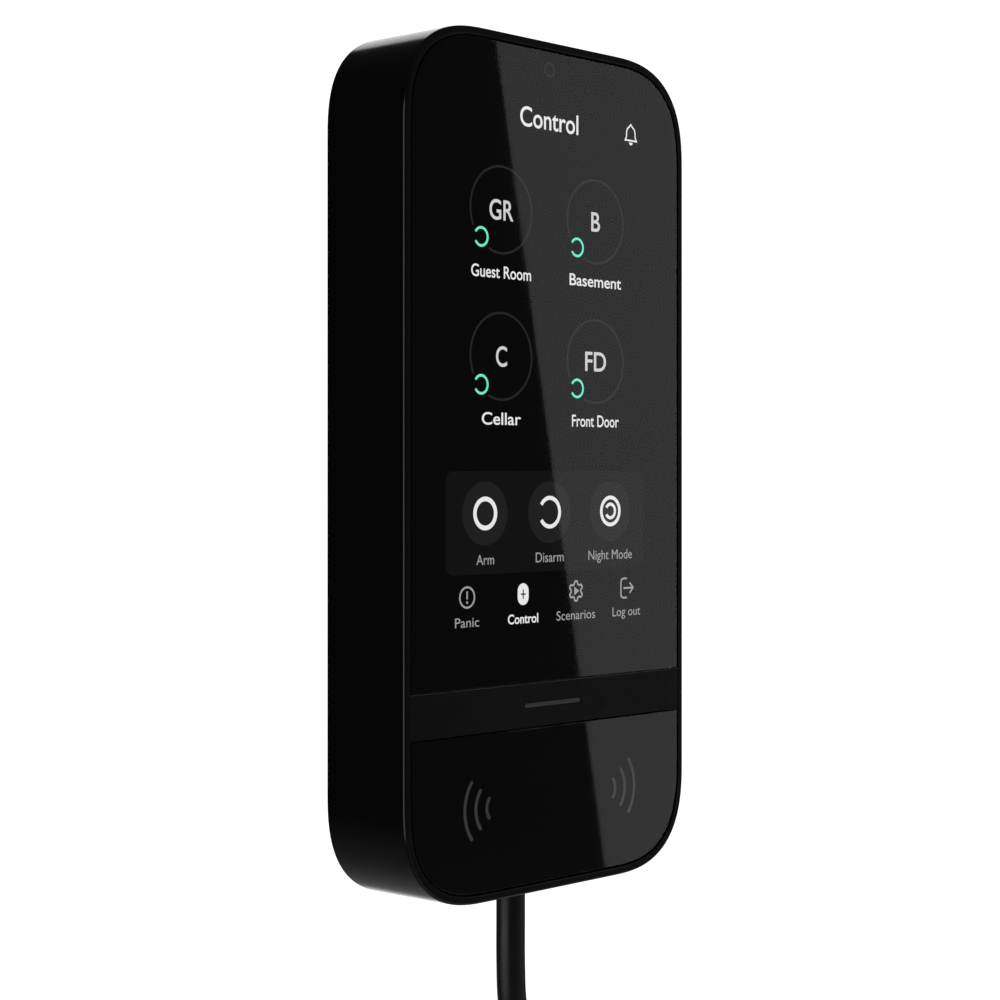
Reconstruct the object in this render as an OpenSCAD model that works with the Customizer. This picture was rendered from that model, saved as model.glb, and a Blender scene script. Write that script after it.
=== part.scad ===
// Wall-mounted alarm keypad panel with a touchscreen, a contactless reader, a wall bracket and a cable.
// The wall is the plane Y = 0, the panel faces -Y and +Z is up. Depths are distances out from the wall.

/* [Body] */
// Width of the case
body_w = 78.6; // [74:0.1:84]
// Height of the case
body_h = 165; // [160:0.5:175]
// Depth of the case from the wall to its front rim
body_d = 21.55; // [20.6:0.05:24]
// Thickness of the case's side walls
wall = 1.9; // [1.5:0.1:2.2]
// Length of the blend at each corner of the outline
corner_blend = 21; // [16:0.5:24]
// Squareness of the corner blend, where 2 is an ellipse
corner_power = 2.65; // [2:0.05:3.2]

/* [Front] */
// Width of the rim round the glass
rim_w = 1.45; // [1.2:0.05:2]
// Gap between the rim and the glass
glass_gap = 0.55; // [0.3:0.05:0.8]
// Thickness of both panes
glass_t = 1.1; // [0.8:0.1:1.2]
// How far the panes lie below the rim
glass_set = 0.1; // [0.05:0.05:0.2]
// Height of the satin band
band_h = 8.5; // [7:0.1:10]
// Height of the band's centre above the case's centre
band_z = -46.25; // [-48:0.25:-45]
// Length of the status light in the band
status_w = 16; // [10:0.5:20]

/* [Display] */
// Width of the display cell
display_w = 65.4; // [62:0.1:66]
// Height of the display cell
display_h = 116.2; // [110:0.1:117]
// Height of the display's centre above the case's centre
display_z = 17.5; // [17:0.1:18]
// Depth of the main board's wall side
board_at = 11.4; // [11:0.1:11.8]
// Thickness of the main board
board_t = 1.6; // [1:0.1:1.6]

/* [Mounting] */
// Thickness of the bracket's plate
plate_t = 2.4; // [2:0.1:2.4]
// How far the case lifts to come off its hooks
lift = 6; // [5:0.5:6]
// Radius of the wall screws' holes
screw_hole_r = 2.2; // [1.8:0.1:2.6]
// Distance between the wall screws across the bracket
screw_span_x = 40; // [36:1:44]
// Distance between the upper and lower wall screws
screw_span_z = 102; // [98:1:104]

/* [Cable] */
// Diameter of the cable's sheath
cable_d = 5.8; // [5:0.1:6]
// Depth of the cable's axis where it leaves the case
cable_at = 9.85; // [9.4:0.05:9.9]
// Diameter of the cable's coil at the middle of its turns
coil_d = 60; // [58:1:64]

/* [Hidden] */
$fn = 48;

corner_steps = 16;
slack = 0.3;            // running clearance between the case and what the bracket carries
touch = 0.05;           // fitting clearance between pieces that are fixed together

// Depths of the layers behind the panes
glass_front = body_d - glass_set;
glass_back = glass_front - glass_t;
deck_front = glass_back - 0.25;
deck_back = deck_front - 1.2;
reader_floor = deck_front - 1.1;
reader_deck_back = reader_floor - 0.9;
cell_back = deck_back;
backlight_back = cell_back - 1.8;
tray_back = backlight_back - 0.6;
board_front = board_at + board_t;

// Outlines of the front
pocket_w = body_w - 2 * rim_w;
pocket_h = body_h - 2 * rim_w - 0.4;
pane_w = pocket_w - 2 * glass_gap;
pane_h = pocket_h - 2 * 0.25;
pane_blend = corner_blend - rim_w - glass_gap;
band_top = band_z + band_h / 2;
band_bottom = band_z - band_h / 2;

// Inside of the case
inner_w = body_w - 2 * wall;
inner_h = body_h - 2 * wall;
inner_blend = corner_blend - wall;
skirt_at = 0.1;
boss_spots = [for (x = [-33.2, 33.2], z = [66, 10, -38]) [x, z], [-28.5, -70], [28.5, -70]];
boss_r = 2.7;
case_screw_r = 1.0;

// Rear cover and the wiring bay
cover_rear = 3.0;
cover_t = 1.8;
cover_front = cover_rear + cover_t;
bay_wall = 1.4;
bay_floor = 13.4;
bay_half_w = 33;
bay_top = -46.4;
bay_step = -62.5;
bay_low_half_w = 22;
window_top = -36.4;
window_half_w = 14;

// Display
tray_ear_spots = [for (x = [-35, 35], z = [38, -14]) [x, z]];
active_w = 62.1;
active_h = 110.4;

// Main board
board_half_w = 30;
board_low = -43;
board_high = 74;
board_screw_spots = [for (x = [-26.5, 26.5], z = [69, -32]) [x, z]];
sensor_z = 77.4;
guide_r = 1.2;

// Buttons on the back
tamper_x = 0;
tamper_z = -8;
tamper_r = 2.5;
power_x = 20;
power_z = -30;
power_r = 3;
switch_h = 2.2;
button_flange_t = 1.0;
tamper_travel = 1.0;
power_travel = 0.7;

// Bracket
bracket_w = inner_w - 1.2;
bracket_top = inner_h / 2 - 0.6;
bracket_bottom = -inner_h / 2 + lift + 0.4;
bracket_blend = inner_blend - 0.1;
bracket_mid = (bracket_top + bracket_bottom) / 2;
screw_mid_z = 17;
wall_screw_spots = [
    for (x = [-1, 1] * screw_span_x / 2, side = [-1, 1]) [x, screw_mid_z + side * screw_span_z / 2]
];
hook_spots = [for (x = [-28, 28], z = [50, -16]) [x, z]];
hook_w = 8;
hook_post_h = 3;
hook_lip_h = 3.6;
hook_lip_t = 1.4;
hook_end = cover_front + 0.4 + hook_lip_t;
entry_x = 26;
entry_z = -54.2;
entry_w = 9;
entry_h = 13;
tab_z = -16;
tab_w = 20;
tab_h = 26;
tab_hole_z = -22;
tongue_x = 16;
tongue_at = 6.6;
lock_r = 1.5;
lock_head_r = 2.7;

// Terminals
term_board_t = 1.2;
term_front = plate_t + term_board_t;
term_half_w = 20;
term_low = -62;
term_step = -47.5;
term_high = -37;
term_tab_half_w = 13.5;
block_h = 8;
way_pitch = 5;
ways = [-1.5, -0.5, 0.5, 1.5];
pad_z = -40.5;
contact_pitch = 4;
core_r = 0.8;
ferrule_r = 1;
entry_at = 8;
clamp_z = -71.5;
clamp_h = 5;
clamp_half_w = 9;

// Cable outside the case, which hangs down the wall
exit_z = -body_h / 2;
sheath_end = -67;
coil_z = -157;
coil_in = coil_d / 2 - cable_d;
coil_out = coil_d / 2 + cable_d;
coil_depth = 3 * cable_d;
tail_x = coil_d / 2 + cable_d / 2;
tail_at = cable_at + cable_d;
tail_end = -177;
// Route of the cable's axis in front of the wall, as [x, z]: straight down, then round to its coil
route = [
    [0, -82.5], [0, -90], [0, -98], [0.4, -106], [2, -112.5], [5.2, -118], [9.8, -122.6],
    [14.8, -126.8], [20, -131], [25, -136]
];

// Points of one corner's blend, from the side to the top
function blend_points(a) = [
    for (i = [0:corner_steps])
        let (t = 90 * i / corner_steps)
        [a * pow(cos(t), 2 / corner_power), a * pow(sin(t), 2 / corner_power)]
];
function backwards(points) = [for (i = [len(points) - 1:-1:0]) points[i]];

// Outline with continuous-curvature corners, centred
module outline(w, h, a) {
    quarter = blend_points(a);
    x = w / 2 - a;
    y = h / 2 - a;
    polygon(concat(
        [for (p = quarter) [x + p.x, y + p.y]],
        [for (p = backwards(quarter)) [-x - p.x, y + p.y]],
        [for (p = quarter) [-x - p.x, -y - p.y]],
        [for (p = backwards(quarter)) [x + p.x, -y - p.y]]
    ));
}

// A flat shape in the wall's plane, made thick between two depths
module layer(from, to)
    translate([0, -from, 0]) rotate([90, 0, 0]) linear_extrude(to - from) children();

module block(x, z, w, h, from, to)
    layer(from, to) translate([x, z]) square([w, h], center = true);

// A block given by its edges
module span(x0, x1, z0, z1, from, to)
    layer(from, to) translate([x0, z0]) square([x1 - x0, z1 - z0]);

module peg(x, z, r, from, to)
    translate([x, -from, z]) rotate([90, 0, 0]) cylinder(r = r, h = to - from);

module upright(x, at, r, z0, z1)
    translate([x, -at, z0]) cylinder(r = r, h = z1 - z0);

// A round rod between two points
module rod(a, b, r) {
    v = b - a;
    translate(a) rotate([0, acos(v.z / norm(v)), atan2(v.y, v.x)]) cylinder(r = r, h = norm(v));
}

// A cross-recessed screw along the depth: its head runs from top to under and its shank on to tip
module screw(x, z, head_r, shank_r, top, under, tip) {
    recess = tip > top ? [top - 1, top + 0.6] : [top - 0.6, top + 1];
    difference() {
        peg(x, z, head_r, min(top, under), max(top, under));
        for (turn = [0, 90])
            translate([x, 0, z]) rotate([0, turn, 0])
                block(0, 0, head_r * 1.1, 0.5, recess[0], recess[1]);
    }
    peg(x, z, shank_r, min(under, tip), max(under, tip));
}

// A flat frame with a straight-sided window
module frame(w, h, a, window_w, window_h, window_z)
    difference() {
        outline(w, h, a);
        translate([0, window_z]) square([window_w, window_h], center = true);
    }

// ---- Case ----

module front_housing()
    color([0.05, 0.05, 0.055]) {
        difference() {
            layer(skirt_at, body_d) outline(body_w, body_h, corner_blend);
            layer(skirt_at - 1, deck_back) outline(inner_w, inner_h, inner_blend);
            layer(deck_front, body_d + 1) outline(pocket_w, pocket_h, corner_blend - rim_w);
            block(0, display_z, display_w + 0.4, display_h + 0.4, deck_back - 1, deck_front + 1);
            block(0, display_z - display_h / 2 - 0.6, 36, 1.6, deck_back - 1, deck_front + 1);
            block(0, band_z, status_w + 0.4, 1.6, deck_back - 1, deck_front + 1);
            for (x = [-28, 28])
                peg(x, band_z, 1.35, deck_back - 1, deck_front + 1);
            peg(0, sensor_z, guide_r + touch, deck_back - 1, deck_front + 1);
            block(0, -65.6, 60, 24, deck_back - 1, deck_front + 1);
            cable_notch();
            upright(tongue_x, tongue_at, lock_r + slack, exit_z - 1, exit_z + wall + 1);
            upright(tongue_x, tongue_at, lock_head_r + slack, exit_z - 1, exit_z + 1.4);
        }
        difference() {
            block(0, -65.6, 62.4, 26.4, reader_deck_back, deck_back);
            block(0, -65.6, 60, 24, reader_floor, deck_back + 1);
            block(22, -55, 8.6, 1.6, reader_deck_back - 1, reader_floor + 1);
        }
        for (p = boss_spots) {
            beside_display = p.y > band_z;
            top = beside_display ? tray_back - 0.2 : deck_back;
            side = sign(p.x);
            difference() {
                union() {
                    peg(p.x, p.y, boss_r, cover_front + touch, top);
                    if (beside_display)
                        block(side * (inner_w / 2 - 1.8), p.y, 4, 2.4, cover_front + touch, top);
                }
                peg(p.x, p.y, case_screw_r + touch, cover_front, top - 1.5);
            }
        }
        for (p = tray_ear_spots)
            difference() {
                peg(p.x, p.y, 2.2, backlight_back + touch, deck_back);
                peg(p.x, p.y, case_screw_r + touch, backlight_back, deck_back - 0.3);
            }
        for (x = [-13, 13])
            peg(x, band_z, 1.2, deck_back - 2.2, deck_back);
    }

// Slot in the underside that lets the case pass over the cable and its bush
module cable_notch() {
    upright(0, cable_at, cable_d / 2 + 1.3 + slack, exit_z - 1, exit_z + wall + 1);
    translate([-(cable_d / 2 + 1.3 + slack), -cable_at, exit_z - 1])
        cube([cable_d + 2.6 + 2 * slack, cable_at + 1, wall + 2]);
}

module rear_cover()
    color([0.07, 0.07, 0.075])
        difference() {
            intersection() {
                layer(cover_rear, bay_floor + bay_wall)
                    outline(inner_w - 0.6, inner_h - 0.6, inner_blend - 0.3);
                union() {
                    layer(cover_rear, cover_front) square([body_w, body_h], center = true);
                    span(-bay_half_w - bay_wall, bay_half_w + bay_wall, bay_step - bay_wall,
                         bay_top + bay_wall, cover_rear, bay_floor + bay_wall);
                    span(-bay_low_half_w - bay_wall, bay_low_half_w + bay_wall, exit_z, bay_step,
                         cover_rear, bay_floor + bay_wall);
                }
            }
            span(-bay_half_w, bay_half_w, bay_step, bay_top, cover_rear - 1, bay_floor);
            span(-bay_low_half_w, bay_low_half_w, exit_z - 1, bay_step + 1, cover_rear - 1, bay_floor);
            span(-window_half_w, window_half_w, bay_top - 1, window_top, cover_rear - 1,
                 cover_front + touch);
            for (p = hook_spots)
                span(p.x - hook_w / 2 - 0.5, p.x + hook_w / 2 + 0.5,
                     p.y - hook_post_h - lift - 0.4, p.y + slack, cover_rear - 1, cover_front + 1);
            for (p = boss_spots) {
                peg(p.x, p.y, case_screw_r + 0.2, cover_rear - 1, cover_front + 1);
                peg(p.x, p.y, 2.5, cover_rear - 1, cover_rear + 1.3);
            }
            peg(tamper_x, tamper_z, tamper_r + 0.2, cover_rear - 1, cover_front + 1);
            peg(power_x, power_z, power_r + 0.2, cover_rear - 1, cover_front + 1);
            for (a = [0:60:300])
                peg(18 + 4 * cos(a), 40 + 4 * sin(a), 0.8, cover_rear - 1, cover_front + 1);
        }

module rear_cover_screws()
    color([0.62, 0.62, 0.64])
        for (p = boss_spots)
            screw(p.x, p.y, 2.2, case_screw_r, cover_rear + 0.1, cover_rear + 1.3, cover_rear + 9);

// ---- Front ----

module touch_glass()
    color([0.03, 0.03, 0.035])
        intersection() {
            layer(glass_back, glass_front) outline(pane_w, pane_h, pane_blend);
            span(-body_w, body_w, band_top + 0.1, body_h, glass_back - 1, body_d);
        }

module reader_glass()
    color([0.03, 0.03, 0.035])
        intersection() {
            layer(glass_back, glass_front) outline(pane_w, pane_h, pane_blend);
            span(-body_w, body_w, -body_h, band_bottom - 0.2, glass_back - 1, body_d);
        }

module centre_band()
    color([0.06, 0.062, 0.065]) {
        difference() {
            block(0, band_z, pane_w + 0.6, band_h, deck_front, glass_front);
            block(0, band_z, status_w, 1.2, deck_front - 1, body_d);
        }
        for (x = [-28, 28])
            peg(x, band_z, 1.25, deck_back - 0.6, deck_front);
    }

module status_light_pipe()
    color([0.75, 0.78, 0.78]) {
        block(0, band_z, status_w - 0.2, 1.0, deck_back, glass_front);
        block(0, band_z, status_w + 3, 3.6, deck_back - 0.8, deck_back);
    }

module touch_glass_adhesive()
    color([0.1, 0.1, 0.1])
        intersection() {
            layer(deck_front, glass_back)
                frame(pane_w - 0.4, pane_h - 0.4, pane_blend, display_w + 0.8, display_h + 1, display_z);
            difference() {
                span(-body_w, body_w, band_top + 0.3, body_h, deck_front - 1, body_d);
                peg(0, sensor_z, guide_r + 0.2, deck_front - 1, body_d);
            }
        }

module reader_glass_adhesive()
    color([0.1, 0.1, 0.1])
        intersection() {
            layer(deck_front, glass_back)
                frame(pane_w - 0.4, pane_h - 0.4, pane_blend, 60, 24, -65.6);
            span(-body_w, body_w, -body_h, band_bottom - 0.4, deck_front - 1, body_d);
        }

// ---- Display ----

module display_cell()
    color([0.04, 0.05, 0.06])
        difference() {
            block(0, display_z, display_w, display_h, cell_back, glass_back - touch);
            difference() {
                block(0, display_z, display_w + 1, display_h + 1, glass_back - 0.35, body_d);
                block(0, 19.2, active_w, active_h, glass_back - 1, body_d);
            }
        }

module backlight()
    color([0.9, 0.9, 0.88])
        block(0, display_z, display_w, display_h, backlight_back, cell_back);

module display_tray()
    color([0.7, 0.7, 0.72]) {
        difference() {
            union() {
                block(0, display_z, display_w + 0.2, display_h + 0.2, tray_back, backlight_back);
                for (p = tray_ear_spots)
                    block(p.x * 0.97, p.y, 6.6, 8, tray_back, backlight_back);
            }
            for (p = tray_ear_spots)
                peg(p.x, p.y, case_screw_r + 0.2, tray_back - 1, backlight_back + 1);
        }
        for (p = board_screw_spots)
            difference() {
                peg(p.x, p.y, 2, board_front, tray_back);
                peg(p.x, p.y, case_screw_r + touch, board_front - 1, tray_back - 0.2);
            }
    }

module tray_screws()
    color([0.62, 0.62, 0.64])
        for (p = tray_ear_spots)
            screw(p.x, p.y, 1.9, case_screw_r, tray_back - 1, tray_back, deck_back - 0.4);

// Flexible lead of the display and, beside it, that of the touch sensor
module display_flex()
    color([0.72, 0.45, 0.15])
        for (x = [-6, 14])
            difference() {
                block(x, -41.1, x < 0 ? 18 : 7, 0.6, board_front + 0.9, cell_back + 0.6);
                block(x, -40.95, 30, 0.5, board_front + 1.1, cell_back + 0.4);
            }

module light_guide()
    color([0.85, 0.87, 0.88]) peg(0, sensor_z, guide_r, board_front + 1.1, glass_back - touch);

module light_sensor()
    color([0.1, 0.1, 0.12]) block(0, sensor_z, 2.4, 2.4, board_front, board_front + 0.9);

module indicator_board()
    color([0.05, 0.3, 0.15]) block(0, band_z, 30, 7, deck_back - 3, deck_back - 2.2);

module indicator_leds()
    color([0.95, 0.93, 0.8])
        for (x = [-5, 0, 5])
            block(x, band_z, 1.6, 1.6, deck_back - 2.2, deck_back - 1.4);

// ---- Contactless reader ----

module reader_board()
    color([0.05, 0.3, 0.15]) block(0, -65.6, 59.6, 23.6, reader_floor + 0.3, deck_front);

module reader_loop()
    color([0.8, 0.5, 0.25])
        for (inset = [0, 2.2, 4.4])
            difference() {
                block(0, -65.6, 56 - inset * 2, 20 - inset * 2, deck_front, deck_front + 0.1);
                block(0, -65.6, 54.4 - inset * 2, 18.4 - inset * 2, deck_front - 1, deck_front + 1);
            }

module ferrite_sheet()
    color([0.22, 0.22, 0.24]) block(-3, -65.6, 50, 20, reader_floor, reader_floor + 0.3);

module reader_flex()
    color([0.72, 0.45, 0.15]) {
        block(22, -55, 8, 0.2, reader_deck_back - 0.5, reader_floor + 0.3);
        span(18, 26, -55.1, -44, reader_deck_back - 0.7, reader_deck_back - 0.5);
        span(18, 26, -44.2, -44, board_at - 0.8, reader_deck_back - 0.7);
        span(18, 26, -44.2, -42, board_at - 1, board_at - 0.8);
    }

// ---- Electronics ----

module main_board()
    color([0.04, 0.26, 0.14])
        difference() {
            union() {
                span(-board_half_w, board_half_w, board_low, board_high, board_at, board_front);
                span(-8, 8, board_high, 79.4, board_at, board_front);
            }
            for (p = board_screw_spots)
                peg(p.x, p.y, case_screw_r + 0.2, board_at - 1, board_front + 1);
        }

module board_screws()
    color([0.62, 0.62, 0.64])
        for (p = board_screw_spots)
            screw(p.x, p.y, 2.1, case_screw_r, board_at - 1.2, board_at, board_front + 2);

module processor_shield()
    color([0.75, 0.75, 0.77]) block(-10, 30, 24, 24, board_front, board_front + 1.8);

module radio_shield()
    color([0.75, 0.75, 0.77]) block(-14, 58, 22, 16, board_at - 2, board_at);

module flex_connectors()
    color([0.9, 0.88, 0.8]) {
        block(-6, -38.7, 20, 4, board_front, board_front + 1.6);
        block(14, -38.7, 9, 4, board_front, board_front + 1.6);
        block(22, -40, 10, 4, board_at - 1.6, board_at);
    }

module capacitors()
    color([0.55, 0.56, 0.6])
        for (x = [-4, 4, 12])
            peg(x, 12, 3, board_at - 4.6, board_at);

module sounder()
    color([0.1, 0.1, 0.1])
        difference() {
            peg(18, 40, 7, board_at - 4, board_at);
            peg(18, 40, 1.2, board_at - 5, board_at - 1.5);
        }

module push_switch(x, z) {
    block(x, z, 6, 6, board_at - switch_h + 0.6, board_at);
    peg(x, z, 1.7, board_at - switch_h, board_at - switch_h + 0.6);
}

module tamper_switch()
    color([0.15, 0.15, 0.16]) push_switch(tamper_x, tamper_z);

module power_switch()
    color([0.15, 0.15, 0.16]) push_switch(power_x, power_z);

module contact_block()
    color([0.9, 0.88, 0.8])
        difference() {
            block(0, pad_z, 18, 4.4, 7.2, board_at);
            for (w = ways)
                peg(w * contact_pitch, pad_z, 0.6, 6, 10);
        }

module contact_pins()
    color([0.83, 0.66, 0.3])
        for (w = ways) {
            peg(w * contact_pitch, pad_z, 0.6, 4.6, 10);
            peg(w * contact_pitch, pad_z, 0.4, term_front + 0.2, 4.6);
        }

// ---- Buttons on the back ----

module push_button(x, z, r, tip, travel) {
    peg(x, z, r, tip, cover_front + 0.2);
    peg(x, z, r + 1.2, cover_front + 0.2, cover_front + 0.2 + button_flange_t);
    peg(x, z, 1.6, cover_front + 0.2 + button_flange_t, board_at - switch_h - 0.2 - travel);
}

module tamper_button()
    color([0.85, 0.85, 0.83]) push_button(tamper_x, tamper_z, tamper_r, plate_t + 0.1, tamper_travel);

module power_button()
    color([0.2, 0.2, 0.21]) push_button(power_x, power_z, power_r, cover_rear + 0.3, power_travel);

// ---- Wall bracket ----

module mounting_bracket()
    color([0.08, 0.08, 0.085]) {
        difference() {
            layer(0, plate_t) translate([0, bracket_mid])
                outline(bracket_w, bracket_top - bracket_bottom, bracket_blend);
            for (p = wall_screw_spots) {
                peg(p.x, p.y, screw_hole_r, -1, plate_t + 1);
                peg(p.x, p.y, 4.5, 1.2, plate_t + 1);
            }
            peg(0, tab_hole_z, screw_hole_r, -1, plate_t + 1);
            peg(0, tab_hole_z, 4.5, 1.2, plate_t + 1);
            tab_slots();
            for (x = [-1, 1] * entry_x)
                block(x, entry_z, entry_w, entry_h, -1, plate_t + 1);
            for (x = [-18, 18])
                block(x, 34, 24, 40, -1, 0.8);
            block(0, 70, 20, 8, -1, 0.8);
            for (x = [-17, 17])
                peg(x, -50, case_screw_r + touch, 0.8, plate_t + 1);
        }
        for (p = hook_spots)
            difference() {
                block(p.x, p.y + (hook_lip_h - hook_post_h) / 2, hook_w, hook_post_h + hook_lip_h,
                      plate_t, hook_end);
                block(p.x, p.y + hook_lip_h / 2, hook_w + 1, hook_lip_h, plate_t,
                      hook_end - hook_lip_t);
            }
        difference() {
            block(0, clamp_z, 2 * clamp_half_w, clamp_h, plate_t, cable_at - cable_d / 2);
            for (x = [-6.6, 6.6])
                peg(x, clamp_z, case_screw_r + touch, plate_t + 0.6, cable_at);
        }
        difference() {
            span(tongue_x - 4, tongue_x + 4, bracket_bottom, bracket_bottom + 3, plate_t, 11);
            upright(tongue_x, tongue_at, lock_r + touch, bracket_bottom - 1, bracket_bottom + 4);
        }
    }

// Slots round the break-away tab, with bridges at its corners and the middle of its long sides
module tab_slots()
    for (s = [-1, 1]) {
        block(0, tab_z + s * tab_h / 2, tab_w - 6, 1.2, -1, plate_t + 1);
        for (z = [-1, 1] * tab_h / 4)
            block(s * tab_w / 2, tab_z + z, 1.2, tab_h / 2 - 5, -1, plate_t + 1);
    }

module terminal_board()
    color([0.04, 0.26, 0.14])
        difference() {
            union() {
                span(-term_half_w, term_half_w, term_low, term_step, plate_t, term_front);
                span(-term_tab_half_w, term_tab_half_w, term_step, term_high, plate_t, term_front);
            }
            for (x = [-17, 17])
                peg(x, -50, case_screw_r + 0.2, plate_t - 1, term_front + 1);
        }

module terminal_board_screws()
    color([0.62, 0.62, 0.64])
        for (x = [-17, 17])
            screw(x, -50, 2.1, case_screw_r, term_front + 1.2, term_front, 0.9);

module contact_pads()
    color([0.83, 0.66, 0.3])
        for (w = ways)
            block(w * contact_pitch, pad_z, 2.4, 4, term_front, term_front + 0.1);

module terminal_block()
    color([0.1, 0.42, 0.24])
        difference() {
            span(-2 * way_pitch - 0.4, 2 * way_pitch + 0.4, -60.5, -51.5, term_front,
                 term_front + block_h);
            for (w = ways) {
                peg(w * way_pitch, -56, 1.8, term_front + block_h - 2.4, term_front + block_h + 1);
                upright(w * way_pitch, entry_at, 1.3, -61.5, -54);
            }
        }

module terminal_screws()
    color([0.7, 0.7, 0.72])
        for (w = ways)
            difference() {
                peg(w * way_pitch, -56, 1.7, term_front + block_h - 2.3, term_front + block_h - 0.6);
                block(w * way_pitch, -56, 3, 0.5, term_front + block_h - 1.1, term_front + block_h);
            }

module cable_clamp()
    color([0.16, 0.16, 0.17])
        difference() {
            block(0, clamp_z, 2 * clamp_half_w, clamp_h, cable_at - cable_d / 2, cable_at + 3.4);
            upright(0, cable_at, cable_d / 2 + touch, clamp_z - clamp_h, clamp_z + clamp_h);
            block(0, clamp_z, cable_d + 2 * touch, clamp_h + 1, 0, cable_at);
            for (x = [-6.6, 6.6]) {
                peg(x, clamp_z, case_screw_r + 0.2, 0, cable_at + 5);
                peg(x, clamp_z, 2.2, cable_at + 2.2, cable_at + 5);
            }
        }

module clamp_screws()
    color([0.62, 0.62, 0.64])
        for (x = [-6.6, 6.6])
            screw(x, clamp_z, 2, case_screw_r, cable_at + 3.4, cable_at + 2.2, plate_t + 1);

module holding_screw()
    color([0.62, 0.62, 0.64])
        difference() {
            union() {
                upright(tongue_x, tongue_at, lock_r, exit_z + 1.3, bracket_bottom + 4.5);
                upright(tongue_x, tongue_at, lock_head_r, exit_z + 0.1, exit_z + 1.3);
            }
            translate([tongue_x, -tongue_at, exit_z - 1]) cylinder(r = 1.1, h = 1.8, $fn = 6);
        }

module cable_bush()
    color([0.09, 0.09, 0.09])
        difference() {
            union() {
                upright(0, cable_at, cable_d / 2 + 1.3, exit_z + 0.2, exit_z + wall + 0.2);
                translate([-cable_d / 2 - 1.3, -cable_at, exit_z + 0.2])
                    cube([cable_d + 2.6, cable_at - 0.6, wall]);
            }
            upright(0, cable_at, cable_d / 2, exit_z - 1, exit_z + wall + 3);
        }

module cable_inner()
    color([0.07, 0.07, 0.07]) upright(0, cable_at, cable_d / 2, exit_z, sheath_end);

module cable_cores()
    for (w = ways)
        color([0.75, 0.12 + 0.2 * abs(w), 0.12]) {
            foot = [w * 1.7, -cable_at + 0.4, sheath_end - 0.5];
            bend = [w * way_pitch, -entry_at, -61.6];
            intersection() {
                rod(foot, bend, core_r);
                translate([-body_w / 2, -body_d, sheath_end]) cube([body_w, body_d, body_h]);
            }
            upright(w * way_pitch, entry_at, ferrule_r, -62, -57.9);
        }

// ---- Cable that hangs outside ----

// Ring of points round a place on the route, square to the direction of the run there
function ring(i, sides) =
    let (
        a = route[max(i - 1, 0)],
        b = route[min(i + 1, len(route) - 1)],
        run = (b - a) / norm(b - a)
    )
    [
        for (k = [0:sides - 1])
            let (t = 360 * k / sides)
            [
                route[i].x - run.y * cable_d / 2 * cos(t),
                -cable_at + cable_d / 2 * sin(t),
                route[i].y + run.x * cable_d / 2 * cos(t)
            ]
    ];

module swept_tube(sides) {
    rings = len(route);
    walls = [
        for (i = [0:rings - 2], k = [0:sides - 1])
            let (next = (k + 1) % sides)
            [i * sides + k, i * sides + next, (i + 1) * sides + next, (i + 1) * sides + k]
    ];
    start = [for (k = [0:sides - 1]) sides - 1 - k];
    end = [for (k = [0:sides - 1]) (rings - 1) * sides + k];
    polyhedron([for (i = [0:rings - 1]) each ring(i, sides)], concat([start], walls, [end]));
}

module cable()
    color([0.06, 0.06, 0.06]) swept_tube(12);

module cable_coil()
    color([0.06, 0.06, 0.06])
        translate([0, -cable_at, coil_z]) rotate([90, 0, 0])
            rotate_extrude($fn = 72) translate([coil_in, -coil_depth / 2])
                square([coil_out - coil_in, coil_depth]);

module cable_tail()
    color([0.06, 0.06, 0.06]) upright(tail_x, tail_at, cable_d / 2, tail_end, coil_z);

// Straps round the coil's turns
module coil_ties()
    color([0.12, 0.12, 0.12])
        for (turn = [70, 190, 310])
            translate([0, -cable_at, coil_z]) rotate([0, turn, 0]) translate([coil_d / 2, 0, 0])
                difference() {
                    cube([coil_out - coil_in + 1.2, coil_depth + 1.2, 3], center = true);
                    cube([coil_out - coil_in - 0.4, coil_depth - 0.4, 4], center = true);
                }

module cable_connector()
    color([0.85, 0.84, 0.8])
        difference() {
            translate([tail_x - 3, -tail_at - 5, tail_end - 13]) cube([6, 10, 13]);
            for (w = ways)
                translate([tail_x - 0.8, -tail_at + w * 2.2 - 0.8, tail_end - 14]) cube([1.6, 1.6, 7]);
        }

front_housing();
touch_glass();
reader_glass();
centre_band();
status_light_pipe();
touch_glass_adhesive();
reader_glass_adhesive();
display_cell();
backlight();
display_tray();
tray_screws();
display_flex();
light_guide();
light_sensor();
indicator_board();
indicator_leds();
reader_board();
reader_loop();
ferrite_sheet();
reader_flex();
main_board();
board_screws();
processor_shield();
radio_shield();
flex_connectors();
capacitors();
sounder();
tamper_switch();
power_switch();
contact_block();
contact_pins();
rear_cover();
rear_cover_screws();
tamper_button();
power_button();
mounting_bracket();
terminal_board();
contact_pads();
terminal_board_screws();
terminal_block();
terminal_screws();
cable_clamp();
clamp_screws();
cable_bush();
cable_inner();
cable_cores();
holding_screw();
cable();
cable_coil();
cable_tail();
coil_ties();
cable_connector();
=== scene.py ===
"""Alarm keypad panel on its wall bracket, with its screen lit and its cable coiled below.

Lengths are in metres unless a name says otherwise. The wall's face is the plane y = 0 and the panel
faces -y, so a depth in front of the wall is -y. The class of each sub-assembly builds its pieces and
then dresses them in finishes.
"""

from __future__ import annotations

import logging
import math
from collections.abc import Callable
from dataclasses import dataclass, field
from enum import Enum

import bmesh
import bpy
import numpy as np
from mathutils import Matrix, Vector

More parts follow.
